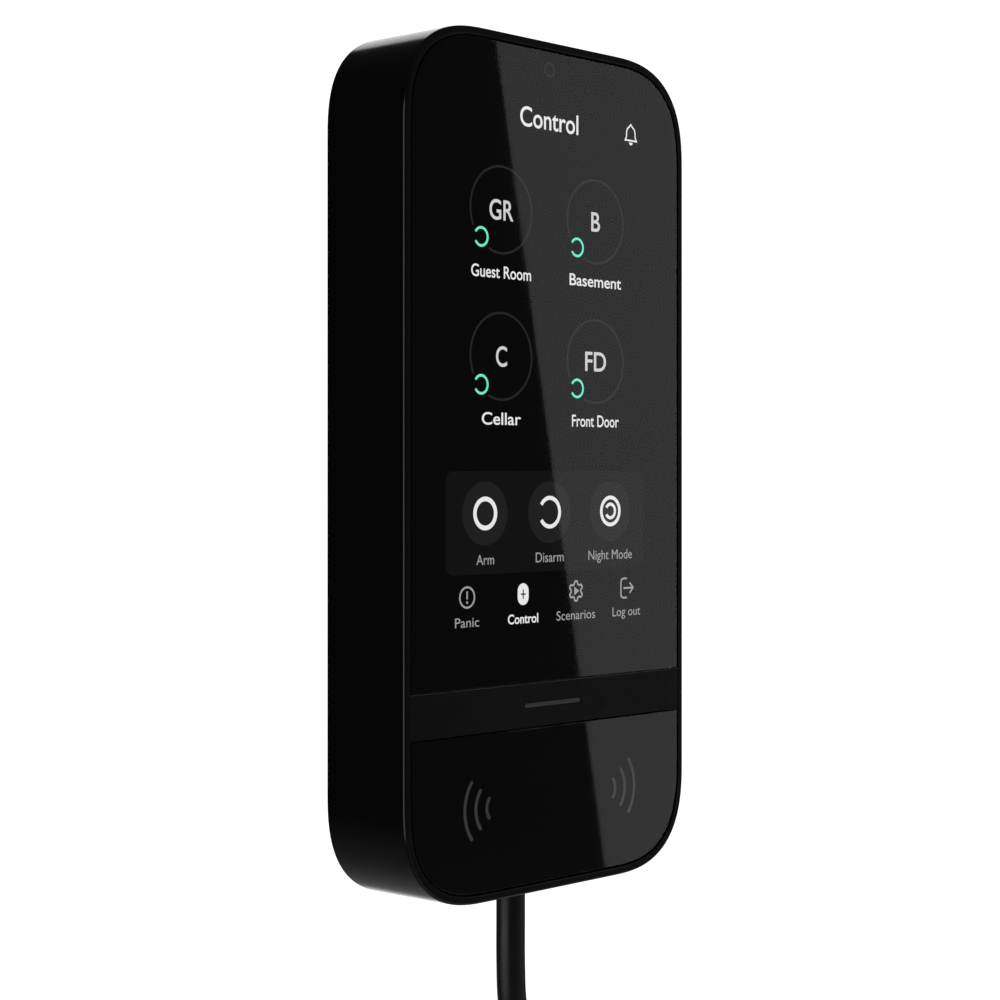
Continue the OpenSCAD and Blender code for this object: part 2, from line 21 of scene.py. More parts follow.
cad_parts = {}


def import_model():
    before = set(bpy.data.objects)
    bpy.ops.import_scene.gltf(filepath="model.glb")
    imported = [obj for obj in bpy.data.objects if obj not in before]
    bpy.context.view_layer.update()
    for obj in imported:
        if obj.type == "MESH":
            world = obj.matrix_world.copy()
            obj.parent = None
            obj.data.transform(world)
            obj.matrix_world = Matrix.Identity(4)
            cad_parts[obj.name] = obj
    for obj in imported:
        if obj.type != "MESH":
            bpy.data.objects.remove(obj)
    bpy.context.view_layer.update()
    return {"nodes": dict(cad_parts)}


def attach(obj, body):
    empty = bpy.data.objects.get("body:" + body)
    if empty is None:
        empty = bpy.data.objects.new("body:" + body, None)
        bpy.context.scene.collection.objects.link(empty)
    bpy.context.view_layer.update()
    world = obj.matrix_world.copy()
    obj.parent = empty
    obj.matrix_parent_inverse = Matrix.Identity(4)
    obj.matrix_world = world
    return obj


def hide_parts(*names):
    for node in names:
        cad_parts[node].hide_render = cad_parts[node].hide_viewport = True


LOG = logging.getLogger("panel")
Colour = tuple[float, float, float]
Facing = Callable[[np.ndarray], np.ndarray]
MM = 0.001
SHARP = 32.0             # angle in degrees over which an edge stays sharp

# Case, in millimetres, as in the CAD model
BODY_W, BODY_H, BODY_D = 78.6, 165.0, 21.55
WALL = 1.9
CORNER_BLEND, CORNER_POWER = 21.0, 2.65
SKIRT_AT = 0.1
RIM_W = 1.45
GLASS_FRONT = 21.45
PANE_W, PANE_H, PANE_BLEND = 75.0, 161.2, 19.2
POCKET_TRIM = 0.4        # how much less high than wide the front's pocket is cut
BAND_Z, BAND_H = -46.25, 8.5
STATUS_W = 16.0
DECK_FRONT, DECK_BACK, DECK_W = 20.1, 18.9, 8.0
SCREW_X, SCREW_DEPTH = 16.0, 6.6
IMAGE_DEPTH = 0.97       # apparent depth of the picture behind the face of the glass
LAYER = 0.02             # step between thin layers that lie on each other

# Cable, in metres
CABLE_D = 0.0058
CABLE_AT = 0.00985
COIL_Z = -0.157
COIL_OUTER, COIL_INNER = 0.0329, 0.0271
TAIL_END = -0.177
ROUTE = (
    (0.0, -0.0825), (0.0, -0.090), (0.0, -0.098), (0.0004, -0.106), (0.002, -0.1125),
    (0.0052, -0.118), (0.0098, -0.1226), (0.0148, -0.1268), (0.020, -0.131), (0.025, -0.136),
)


# ---- Geometry ----

def outline(width: float, height: float, blend: float, steps: int = 28) -> np.ndarray:
    """Closed outline with continuous-curvature corners, centred on the panel.

    Each corner is a quarter of |x|^p + |z|^p = blend^p, so x = blend cos(t)^(2/p) and
    z = blend sin(t)^(2/p) as t goes from 0 to 90 degrees.

    Args:
        width: Size along x, in millimetres.
        height: Size along z, in millimetres.
        blend: Length of side that a corner takes up.
        steps: Spans in one corner.

    Returns:
        Points (n, 2) as x and z, anticlockwise as seen from the front.
    """
    t = np.linspace(0.0, math.pi / 2, steps + 1)
    across = blend * np.abs(np.cos(t)) ** (2 / CORNER_POWER)
    up = blend * np.abs(np.sin(t)) ** (2 / CORNER_POWER)
    x, z = width / 2 - blend + across, height / 2 - blend + up
    quarters = [
        np.column_stack((x, z)), np.column_stack((-x, z))[::-1],
        np.column_stack((-x, -z)), np.column_stack((x, -z))[::-1],
    ]
    return np.concatenate(quarters)


def clip(loop: np.ndarray, low: float, high: float) -> np.ndarray:
    """Cuts a convex closed loop off at two heights.

    Args:
        loop: Points (n, 2) as x and z.
        low: Lowest z kept.
        high: Highest z kept.

    Returns:
        The loop that is left, in the same order.
    """
    for limit, sign in ((low, 1.0), (high, -1.0)):
        after = np.roll(loop, -1, axis=0)
        inside = sign * (loop[:, 1] - limit) >= 0
        crosses = inside != np.roll(inside, -1)
        rise = np.where(crosses, after[:, 1] - loop[:, 1], 1.0)
        share = np.where(crosses, (limit - loop[:, 1]) / rise, 0.0)
        cuts = loop + share[:, None] * (after - loop)
        order = np.concatenate((np.arange(len(loop))[inside], np.arange(len(loop))[crosses] + 0.5))
        points = np.concatenate((loop[inside], cuts[crosses]))
        loop = points[np.argsort(order)]
    return loop


def inset(loop: np.ndarray, amount: float) -> np.ndarray:
    """Moves every side of a closed loop inwards by one amount, with mitred corners.

    A point moves by amount (m + n) / (1 + m.n), where m and n are the inward normals of the two
    sides that meet there.

    Args:
        loop: Points (n, 2), anticlockwise.
        amount: How far each side moves.

    Returns:
        The smaller loop, point for point.
    """
    side = np.roll(loop, -1, axis=0) - loop
    side /= np.linalg.norm(side, axis=1, keepdims=True)
    inward = np.column_stack((-side[:, 1], side[:, 0]))
    before = np.roll(inward, 1, axis=0)
    turn = 1.0 + np.sum(inward * before, axis=1, keepdims=True)
    return loop + amount * (inward + before) / turn


def stack(loops: list[np.ndarray], depths: list[float]) -> np.ndarray:
    """Places flat loops at their depths in front of the wall.

    Args:
        loops: Loops (n, 2) in millimetres, all of one length.
        depths: Depth of each loop in millimetres.

    Returns:
        Points (rings, n, 3) in metres.
    """
    flat = np.stack(loops)
    y = np.broadcast_to(-np.asarray(depths)[:, None], flat.shape[:2])
    return np.stack((flat[..., 0], y, flat[..., 1]), axis=-1) * MM


def quarter_round(radius: float, steps: int = 6) -> list[tuple[float, float]]:
    """Rounded edge as (inset, height below the top), from the side to the face."""
    t = np.linspace(0.0, math.pi / 2, steps + 1)
    return list(zip(radius * (1 - np.cos(t)), radius * (1 - np.sin(t))))


def mesh_object(name: str, points: np.ndarray, faces: list, smooth: float = SHARP) -> bpy.types.Object:
    """Makes an object from points and faces.

    Args:
        name: Name of the piece.
        points: Points (n, 3) in metres.
        faces: Lists of point numbers.
        smooth: Angle in degrees over which an edge stays sharp; 0 leaves every face flat.

    Returns:
        The new object, linked to the scene.
    """
    mesh = bpy.data.meshes.new(name)
    mesh.from_pydata(points.reshape(-1, 3), [], faces)
    mesh.validate()
    made = bpy.data.objects.new(name, mesh)
    bpy.context.collection.objects.link(made)
    soften(made, smooth)
    return made


def soften(piece: bpy.types.Object, angle: float = SHARP) -> None:
    """Smooths a piece's faces and turns them outwards.

    Args:
        piece: The piece.
        angle: Angle in degrees over which an edge stays sharp; 0 leaves every face flat.
    """
    mesh = piece.data
    work = bmesh.new()
    work.from_mesh(mesh)
    bmesh.ops.recalc_face_normals(work, faces=work.faces)
    work.to_mesh(mesh)
    work.free()
    mesh.polygons.foreach_set("use_smooth", [angle > 0] * len(mesh.polygons))
    mesh.set_sharp_from_angle(angle=math.radians(max(angle, 1.0)))
    if angle > 0:
        even = piece.modifiers.new("even_shading", "WEIGHTED_NORMAL")
        even.keep_sharp, even.weight = True, 100


def skin(name: str, rings: np.ndarray, closed: bool = False) -> bpy.types.Object:
    """Joins rings of points into a tube, capped at both ends unless the last ring meets the first.

    Args:
        name: Name of the piece.
        rings: Points (rings, n, 3) in metres.
        closed: Whether the rings go round and meet.

    Returns:
        The new object.
    """
    count, around = rings.shape[:2]
    ring = np.arange(count if closed else count - 1)[:, None]
    step = np.arange(around)[None, :]
    low, high = ring * around, ((ring + 1) % count) * around
    ahead = (step + 1) % around
    walls = np.stack((low + step, low + ahead, high + ahead, high + step), axis=-1).reshape(-1, 4)
    faces = walls.tolist()
    if not closed:
        faces += [list(range(around))[::-1], list(range((count - 1) * around, count * around))]
    return mesh_object(name, rings, faces)


def plate(name: str, loop: np.ndarray, back: float, front: float, round_mm: float) -> bpy.types.Object:
    """Plate of a flat shape whose front edge is rounded.

    Args:
        name: Name of the piece.
        loop: Its shape (n, 2) in millimetres.
        back: Depth of its back in millimetres.
        front: Depth of its front in millimetres.
        round_mm: Radius of the front edge in millimetres.

    Returns:
        The new object.
    """
    edge = quarter_round(round_mm, 4)
    loops = [loop] + [inset(loop, step) for step, _ in edge]
    return skin(name, stack(loops, [back] + [front - down for _, down in edge]))


def rectangle(x: float, z: float, width: float, height: float, corner: float = 0.0) -> np.ndarray:
    """Rectangle with round corners, anticlockwise as seen from the front.

    Args:
        x: Centre along x.
        z: Centre along z.
        width: Size along x.
        height: Size along z.
        corner: Radius of the corners; 0 leaves them sharp.

    Returns:
        Points (n, 2).
    """
    turn = np.linspace(0.0, math.pi / 2, 9 if corner else 1)
    turns = np.concatenate([turn + quarter * math.pi / 2 for quarter in range(4)])
    signs = np.repeat(((1, 1), (-1, 1), (-1, -1), (1, -1)), len(turn), axis=0)
    middle = signs * (width / 2 - corner, height / 2 - corner)
    return middle + corner * np.column_stack((np.cos(turns), np.sin(turns))) + (x, z)


def arc(x: float, z: float, radius: float, start: float = 0.0, end: float = 360.0) -> np.ndarray:
    """Points of an arc, whose angles in degrees go anticlockwise from +x as seen from the front."""
    count = max(6, int(abs(end - start) / 4)) + 1
    t = np.radians(np.linspace(start, end, count))
    return np.column_stack((x + radius * np.cos(t), z + radius * np.sin(t)))


def carve(piece: bpy.types.Object, cutters: list[bpy.types.Object]) -> None:
    """Takes the cutters' shapes out of a piece and removes them.

    Args:
        piece: The piece that is cut; its mesh is replaced.
        cutters: Closed objects.
    """
    for cutter in cutters:
        cut = piece.modifiers.new(cutter.name, "BOOLEAN")
        cut.operation, cut.solver, cut.object = "DIFFERENCE", "EXACT", cutter
    evaluated = piece.evaluated_get(bpy.context.evaluated_depsgraph_get())
    mesh = bpy.data.meshes.new_from_object(evaluated)
    piece.modifiers.clear()
    piece.data = mesh
    for cutter in cutters:
        bpy.data.objects.remove(cutter)
    soften(piece)


def two_finishes(piece: bpy.types.Object, main: Finish, other: Finish, where: Facing) -> None:
    """Gives a piece one finish, and another on some of its faces.

    Args:
        piece: The piece.
        main: Finish of most faces.
        other: Finish of the rest.
        where: Picks the rest from the faces' normals (n, 3).
    """
    mesh = piece.data
    mesh.materials.append(main.make())
    mesh.materials.append(other.make())
    normals = np.empty(len(mesh.polygons) * 3)
    mesh.polygons.foreach_get("normal", normals)
    mesh.polygons.foreach_set("material_index", where(normals.reshape(-1, 3)).astype(np.int32))


def upright(name: str, x: float, depth: float, radius: float, low: float, high: float) -> bpy.types.Object:
    """Round bar along z, for cutting.

    Args:
        name: Name of the piece.
        x: Place along x, in millimetres.
        depth: Depth of its axis in front of the wall.
        radius: Its radius.
        low: Its lower end along z.
        high: Its upper end along z.

    Returns:
        The new object.
    """
    circle = arc(x, -depth, radius)[:-1]
    rings = [np.column_stack((circle, np.full(len(circle), z))) for z in (low, high)]
    return skin(name, np.stack(rings) * MM)


# ---- Finishes ----

class Pattern(Enum):
    """What a finish shows on top of its grain."""

    MOULDED = "moulded"
    BRUSHED = "brushed"
    BOARD = "board"
    SPECKLE = "speckle"
    STRIPES = "stripes"
    CORES = "cores"


class Graph:
    """Node tree being wired."""

    def __init__(self, tree: bpy.types.NodeTree) -> None:
        """Empties a node tree and keeps it."""
        self.tree = tree
        tree.nodes.clear()

    def node(self, kind: str, inputs: dict | None = None, **settings: object) -> bpy.types.Node:
        """Adds a node.

        Args:
            kind: Its Blender type.
            inputs: Value or output socket for each input, by name or number.
            settings: Properties of the node.

        Returns:
            The new node.
        """
        made = self.tree.nodes.new(kind)
        for name, value in settings.items():
            setattr(made, name, value)
        for name, value in (inputs or {}).items():
            if isinstance(value, bpy.types.NodeSocket):
                self.tree.links.new(value, made.inputs[name])
            else:
                made.inputs[name].default_value = value
        return made

    def place(self, stretch: Colour = (1.0, 1.0, 1.0)) -> bpy.types.NodeSocket:
        """Object coordinates, stretched along each axis."""
        coords = self.node("ShaderNodeTexCoord").outputs["Object"]
        return self.node("ShaderNodeMapping", {"Vector": coords, "Scale": stretch}).outputs[0]

    def noise(self, place: bpy.types.NodeSocket, scale: float, detail: float = 3.0) -> bpy.types.NodeSocket:
        """Noise from 0 to 1 over a place."""
        inputs = {"Vector": place, "Scale": scale, "Detail": detail}
        return self.node("ShaderNodeTexNoise", inputs).outputs["Fac"]

    def spread(self, value: bpy.types.NodeSocket, low: float, high: float) -> bpy.types.NodeSocket:
        """Maps the middle of a noise's range to low and high."""
        inputs = {"Value": value, "From Min": 0.3, "From Max": 0.7, "To Min": low, "To Max": high}
        return self.node("ShaderNodeMapRange", inputs).outputs[0]

    def mix(self, factor: bpy.types.NodeSocket, one: object, other: object) -> bpy.types.NodeSocket:
        """Mixes two colours.

        Args:
            factor: Share of the second colour.
            one: First colour, as a colour or a socket.
            other: Second colour, as a colour or a socket.

        Returns:
            Socket of the mixed colour.
        """
        made = self.node("ShaderNodeMix", {"Factor": factor}, data_type="RGBA")
        for slot, value in ((6, one), (7, other)):
            if isinstance(value, bpy.types.NodeSocket):
                self.tree.links.new(value, made.inputs[slot])
            else:
                made.inputs[slot].default_value = (*value, 1.0)
        return made.outputs[2]

    def fade(self, solid: float, gone: float) -> bpy.types.NodeSocket:
        """1 within the solid radius about the z axis, falling to 0 at the gone radius."""
        flat = self.place((1.0, 1.0, 0.0))
        away = self.node("ShaderNodeVectorMath", {0: flat}, operation="LENGTH").outputs["Value"]
        inputs = {"Value": away, "From Min": solid, "From Max": gone, "To Min": 1.0, "To Max": 0.0}
        return self.node("ShaderNodeMapRange", inputs, interpolation_type="SMOOTHSTEP").outputs[0]


@dataclass(frozen=True)
class Finish:
    """Procedural finish of one kind of material."""

    name: str
    colour: Colour
    accent: Colour | None = None
    drift: float = 0.12
    roughness: tuple[float, float] = (0.35, 0.45)
    grain: float = 1500.0
    relief: float = 0.00001
    metallic: float = 0.0
    specular: float = 0.5
    pattern: Pattern = Pattern.MOULDED
    glow: float = 0.0
    radii: tuple[float, float] | None = None

    def tones(self) -> list[Colour]:
        """Darkest and lightest tone of the main colour."""
        return [tuple(part * (1 + way * self.drift) for part in self.colour) for way in (-1, 1)]

    def shade(self, graph: Graph) -> tuple[bpy.types.NodeSocket, ...]:
        """Colour and height of the finish's pattern.

        Args:
            graph: Tree being wired.

        Returns:
            Sockets for the colour and for the height from 0 to 1.
        """
        low, high = self.tones()
        place = graph.place()
        tone = graph.mix(graph.spread(graph.noise(place, 70.0), 0.0, 1.0), low, high)
        fine = graph.noise(place, self.grain)
        accent = self.accent or high
        if self.pattern is Pattern.BRUSHED:
            fine = graph.noise(graph.place((0.03, 1.0, 1.0)), self.grain * 2)
            return graph.mix(fine, tone, accent), fine
        if self.pattern is Pattern.SPECKLE:
            spots = graph.node("ShaderNodeTexVoronoi", {"Vector": place, "Scale": self.grain})
            share = graph.spread(spots.outputs["Distance"], 1.0, 0.0)
            return graph.mix(share, tone, accent), share
        if self.pattern is Pattern.STRIPES:
            wave = graph.node("ShaderNodeTexWave", {"Vector": place, "Scale": self.grain, "Distortion": 0.2})
            return graph.mix(wave.outputs["Fac"], tone, accent), wave.outputs["Fac"]
        if self.pattern is Pattern.BOARD:
            turned = graph.node("ShaderNodeMapping", {"Vector": place, "Rotation": (math.pi / 2, 0.0, 0.0)})
            inputs = {"Vector": turned.outputs[0], "Scale": 260.0, "Mortar Size": 0.035}
            brick = graph.node("ShaderNodeTexBrick", inputs)
            return graph.mix(brick.outputs["Fac"], tone, accent), brick.outputs["Fac"]
        if self.pattern is Pattern.CORES:
            across = graph.node("ShaderNodeSeparateXYZ", {"Vector": place}).outputs["X"]
            reach = {"Value": across, "From Min": -0.010, "From Max": 0.010}
            share = graph.node("ShaderNodeMapRange", reach).outputs[0]
            ramp = graph.node("ShaderNodeValToRGB", {"Fac": share})
            ramp.color_ramp.interpolation = "CONSTANT"
            tones = ((0.55, 0.02, 0.02), (0.01, 0.01, 0.01), (0.05, 0.35, 0.06), (0.65, 0.5, 0.05))
            for spot, colour in zip((0.0, 0.25, 0.5, 0.75), tones):
                stop = ramp.color_ramp.elements[0] if spot == 0 else ramp.color_ramp.elements.new(spot)
                stop.color = (*colour, 1.0)
            return ramp.outputs["Color"], fine
        return tone, fine

    def make(self) -> bpy.types.Material:
        """Makes the material, or finds it if it is made already.

        Returns:
            The material.
        """
        if self.name in bpy.data.materials:
            return bpy.data.materials[self.name]
        material = bpy.data.materials.new(self.name)
        material.use_nodes = True
        graph = Graph(material.node_tree)
        graph.node("ShaderNodeOutputMaterial", {"Surface": self.surface(graph)})
        return material

    def surface(self, graph: Graph) -> bpy.types.NodeSocket:
        """Wires the colour, roughness and bump of the finish.

        Args:
            graph: Tree being wired.

        Returns:
            Socket of its shader.
        """
        colour, height = self.shade(graph)
        rough = graph.spread(graph.noise(graph.place(), self.grain / 6), *self.roughness)
        bump = graph.node("ShaderNodeBump", {"Height": height, "Distance": self.relief, "Strength": 0.6})
        inputs = {
            "Base Color": colour, "Roughness": rough, "Normal": bump.outputs[0],
            "Metallic": self.metallic, "Specular IOR Level": self.specular,
        }
        if self.glow:
            inputs |= {"Emission Color": colour, "Emission Strength": self.glow}
        if self.radii:
            inputs["Alpha"] = graph.fade(*self.radii)
        return graph.node("ShaderNodeBsdfPrincipled", inputs).outputs[0]

    def dress(self, *pieces: bpy.types.Object) -> None:
        """Puts the finish on every slot of the pieces."""
        for piece in pieces:
            if not piece.data.materials:
                piece.data.materials.append(None)
            for slot in piece.material_slots:
                slot.material = self.make()


@dataclass(frozen=True)
class Ink(Finish):
    """Colour that a screen shows, with its faint pattern of picture elements."""

    strength: float = 1.0

    def surface(self, graph: Graph) -> bpy.types.NodeSocket:
        """Wires light of the ink's colour over a black ground.

        Args:
            graph: Tree being wired.

        Returns:
            Socket of its shader.
        """
        cells = graph.noise(graph.place(), self.grain, 1.0)
        colour = graph.mix(graph.spread(cells, 0.0, 1.0), *self.tones())
        inputs = {
            "Base Color": (0.0, 0.0, 0.0, 1.0), "Roughness": 0.6, "Specular IOR Level": 0.0,
            "Emission Color": colour, "Emission Strength": self.strength,
        }
        return graph.node("ShaderNodeBsdfPrincipled", inputs).outputs[0]


@dataclass(frozen=True)
class CoverGlass(Finish):
    """See-through pane that mirrors by its angle, with faint smears."""

    index: float = 1.5

    def surface(self, graph: Graph) -> bpy.types.NodeSocket:
        """Wires glass that is clear straight on and glossier towards grazing.

        Args:
            graph: Tree being wired.

        Returns:
            Socket of its shader.
        """
        rough = graph.spread(graph.noise(graph.place(), 45.0, 5.0), *self.roughness)
        mirror = graph.node("ShaderNodeBsdfGlossy", {"Color": (1.0, 1.0, 1.0, 1.0), "Roughness": rough})
        clear = graph.node("ShaderNodeBsdfTransparent", {"Color": (*self.colour, 1.0)})
        share = graph.node("ShaderNodeFresnel", {"IOR": self.index})
        inputs = {0: share.outputs[0], 1: clear.outputs[0], 2: mirror.outputs[0]}
        return graph.node("ShaderNodeMixShader", inputs).outputs[0]


CASE = Finish("case_satin", (0.002, 0.002, 0.0021), drift=0.2, roughness=(0.13, 0.17), relief=0.000002)
RIM = Finish("rim_satin", (0.005, 0.005, 0.0052), drift=0.2, roughness=(0.38, 0.44), relief=0.000006,
             specular=0.12)
BAND = Finish("band_grained", (0.0048, 0.005, 0.0052), drift=0.45, roughness=(0.36, 0.48), grain=2600.0,
              relief=0.00003, specular=0.17)
# Light grey on the band's upward-facing top bevel: a painted highlight, the band's own dark plastic drawn
# light where the top light falls.
BAND_TOP_PAINTED_HIGHLIGHT = Finish("band_top_painted_highlight", (0.19, 0.195, 0.20), drift=0.2, roughness=(0.3, 0.4), grain=2600.0)
STATUS = Finish("status_lens", (0.085, 0.088, 0.09), drift=0.1, roughness=(0.35, 0.5), grain=900.0)
GLASS = CoverGlass("cover_glass", (0.98, 0.98, 0.98), roughness=(0.016, 0.026))
MASK = Finish("mask_print", (0.0008, 0.0008, 0.0009), drift=0.3, roughness=(0.5, 0.7), specular=0.0)
WHITE = Ink("screen_white", (0.86, 0.86, 0.86), drift=0.03, grain=9000.0)
PALE = Ink("screen_pale", (0.66, 0.66, 0.66), drift=0.03, grain=9000.0)
GREY = Ink("screen_grey", (0.36, 0.36, 0.36), drift=0.04, grain=9000.0)
RING = Ink("screen_ring", (0.016, 0.0168, 0.0172), drift=0.05, grain=9000.0)
MINT = Ink("screen_mint", (0.15, 0.88, 0.64), drift=0.03, grain=9000.0)
DOCK = Ink("screen_dock", (0.0042, 0.0042, 0.0043), drift=0.06, grain=9000.0)
DISC = Ink("screen_disc", (0.0125, 0.0128, 0.0129), drift=0.05, grain=9000.0)
DARK = Ink("screen_dark", (0.03, 0.03, 0.03), drift=0.05, grain=9000.0)
# Printed mark whose colour also glows: the print is real, the glow is painted light, as the mark is no lamp.
PRINT_PAINTED_GLOW = Finish("reader_print_painted_glow", (0.045, 0.045, 0.046), drift=0.08, roughness=(0.4, 0.5), specular=0.1,
               glow=0.75)
SHEATH = Finish("cable_sheath", (0.003, 0.003, 0.003), drift=0.25, roughness=(0.38, 0.46), grain=900.0,
                relief=0.00002, specular=0.55)
FLOOR = Finish("floor_pale", (0.80, 0.80, 0.80), drift=0.02, roughness=(0.6, 0.7), grain=300.0,
               radii=(0.08, 0.29))

CAD_FINISHES: dict[Finish, tuple[str, ...]] = {
    Finish("bracket_moulded", (0.017, 0.017, 0.018), drift=0.2, roughness=(0.42, 0.58), relief=0.00003):
        ("mounting_bracket", "rear_cover", "cable_clamp"),
    Finish("foam_tape", (0.012, 0.012, 0.012), roughness=(0.8, 0.95), grain=3000.0, relief=0.00006):
        ("touch_glass_adhesive", "reader_glass_adhesive"),
    Finish("display_film", (0.006, 0.006, 0.009), roughness=(0.15, 0.2)): ("display_cell",),
    Finish("reflector_film", (0.75, 0.75, 0.73), drift=0.03, roughness=(0.3, 0.4)): ("backlight",),
    Finish("tinned_sheet", (0.55, 0.55, 0.57), (0.68, 0.68, 0.70), roughness=(0.25, 0.38), metallic=1.0,
           pattern=Pattern.BRUSHED): ("display_tray", "processor_shield", "radio_shield"),
    Finish("zinc_plate", (0.5, 0.5, 0.5), (0.62, 0.62, 0.60), roughness=(0.24, 0.36), metallic=1.0,
           pattern=Pattern.BRUSHED): (
        "tray_screws", "board_screws", "rear_cover_screws", "terminal_board_screws", "terminal_screws",
        "clamp_screws", "holding_screw"),
    Finish("polyimide", (0.32, 0.13, 0.025), (0.42, 0.2, 0.05), roughness=(0.25, 0.4), grain=700.0,
           pattern=Pattern.STRIPES): ("display_flex", "reader_flex"),
    Finish("board_mask", (0.008, 0.06, 0.022), (0.02, 0.13, 0.05), roughness=(0.25, 0.38),
           pattern=Pattern.BOARD): ("main_board", "terminal_board", "reader_board", "indicator_board"),
    Finish("chip_epoxy", (0.012, 0.012, 0.013), (0.03, 0.03, 0.03), roughness=(0.5, 0.65), grain=5000.0,
           pattern=Pattern.SPECKLE):
        ("light_sensor", "sounder", "tamper_switch", "power_switch", "capacitors"),
    Finish("ferrite_film", (0.03, 0.03, 0.034), (0.06, 0.06, 0.065), roughness=(0.4, 0.55), grain=4000.0,
           pattern=Pattern.SPECKLE): ("ferrite_sheet",),
    Finish("loop_copper", (0.72, 0.3, 0.14), (0.8, 0.38, 0.2), roughness=(0.25, 0.35), metallic=1.0,
           pattern=Pattern.BRUSHED): ("reader_loop",),
    Finish("gold_plate", (0.85, 0.6, 0.25), (0.9, 0.68, 0.34), roughness=(0.18, 0.28), metallic=1.0,
           pattern=Pattern.BRUSHED): ("contact_pins", "contact_pads"),
    Finish("nylon_ivory", (0.62, 0.58, 0.48), drift=0.06, roughness=(0.4, 0.55), relief=0.00002):
        ("flex_connectors", "cable_connector", "contact_block"),
    Finish("lens_clear", (0.7, 0.72, 0.72), drift=0.04, roughness=(0.12, 0.2)):
        ("light_guide", "indicator_leds"),
    Finish("button_satin", (0.03, 0.03, 0.032), roughness=(0.5, 0.6), relief=0.00003):
        ("tamper_button", "power_button"),
    Finish("terminal_green", (0.02, 0.16, 0.06), drift=0.1, roughness=(0.35, 0.5), relief=0.00002):
        ("terminal_block",),
    Finish("bush_rubber", (0.012, 0.012, 0.012), roughness=(0.6, 0.75), relief=0.00004): ("cable_bush",),
    Finish("core_insulation", (0.3, 0.3, 0.3), roughness=(0.35, 0.45), pattern=Pattern.CORES):
        ("cable_cores",),
    Finish("tie_nylon", (0.012, 0.012, 0.012), (0.02, 0.02, 0.02), roughness=(0.4, 0.5), grain=500.0,
           relief=0.0001, pattern=Pattern.STRIPES): ("coil_ties",),
    SHEATH: ("cable_inner",),
}


# ---- Camera, light and floor ----

